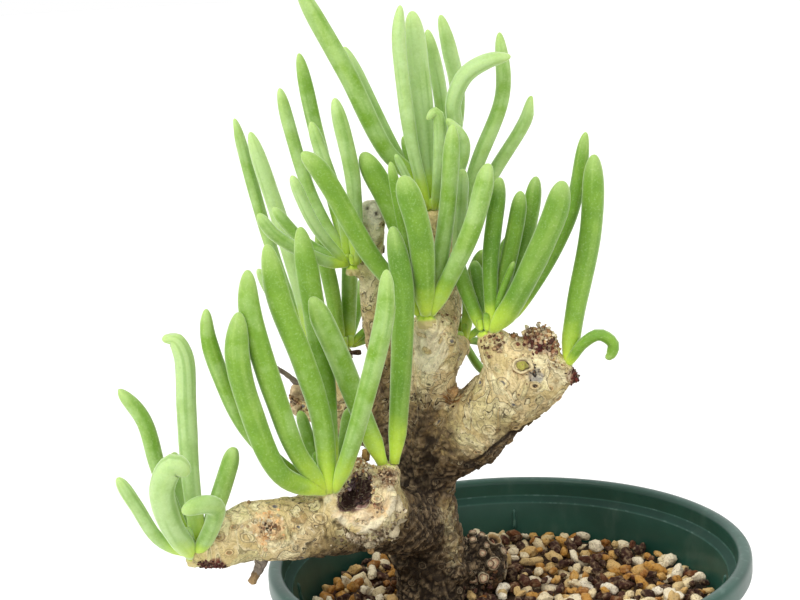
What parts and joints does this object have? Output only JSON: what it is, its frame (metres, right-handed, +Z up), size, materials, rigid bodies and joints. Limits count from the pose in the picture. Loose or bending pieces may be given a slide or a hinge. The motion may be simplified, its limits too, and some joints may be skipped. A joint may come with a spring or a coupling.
{
  "type": "potted caudex succulent",
  "caption": "Small succulent tree with thick knobbly branches and tufts of finger-shaped leaves, growing in a round plastic pot filled with grit.",
  "frame": {"origin": "middle of the pot's flat underside", "axes": "+Z up along the pot's axis, +X to the plant's right and -Y to its front"},
  "size_m": [0.187, 0.15, 0.286],
  "materials": {
    "pot_plastic": "satin moulded plastic, dark green",
    "grit_stones": "rough dry stones in cream, tan, orange and dark brown",
    "bark": "flaking pale bark, dark brown towards the foot",
    "leaf": "fleshy leaf, softly downy, yellow-green at the root"
  },
  "bodies": {
    "root": {"pot": "pot_plastic", "grit": "grit_stones", "caudex": "bark", "leaves_left_tip": "leaf", "leaves_left_middle": "leaf", "leaves_left_elbow": "leaf", "leaves_middle": "leaf", "leaves_right": "leaf", "leaves_right_tip": "leaf", "leaves_top": "leaf", "leaves_behind_middle": "leaf", "leaves_upper_left": "leaf", "leaves_back_left": "leaf", "leaves_back_right": "leaf", "leaves_far_left": "leaf"}
  },
  "joints": []
}
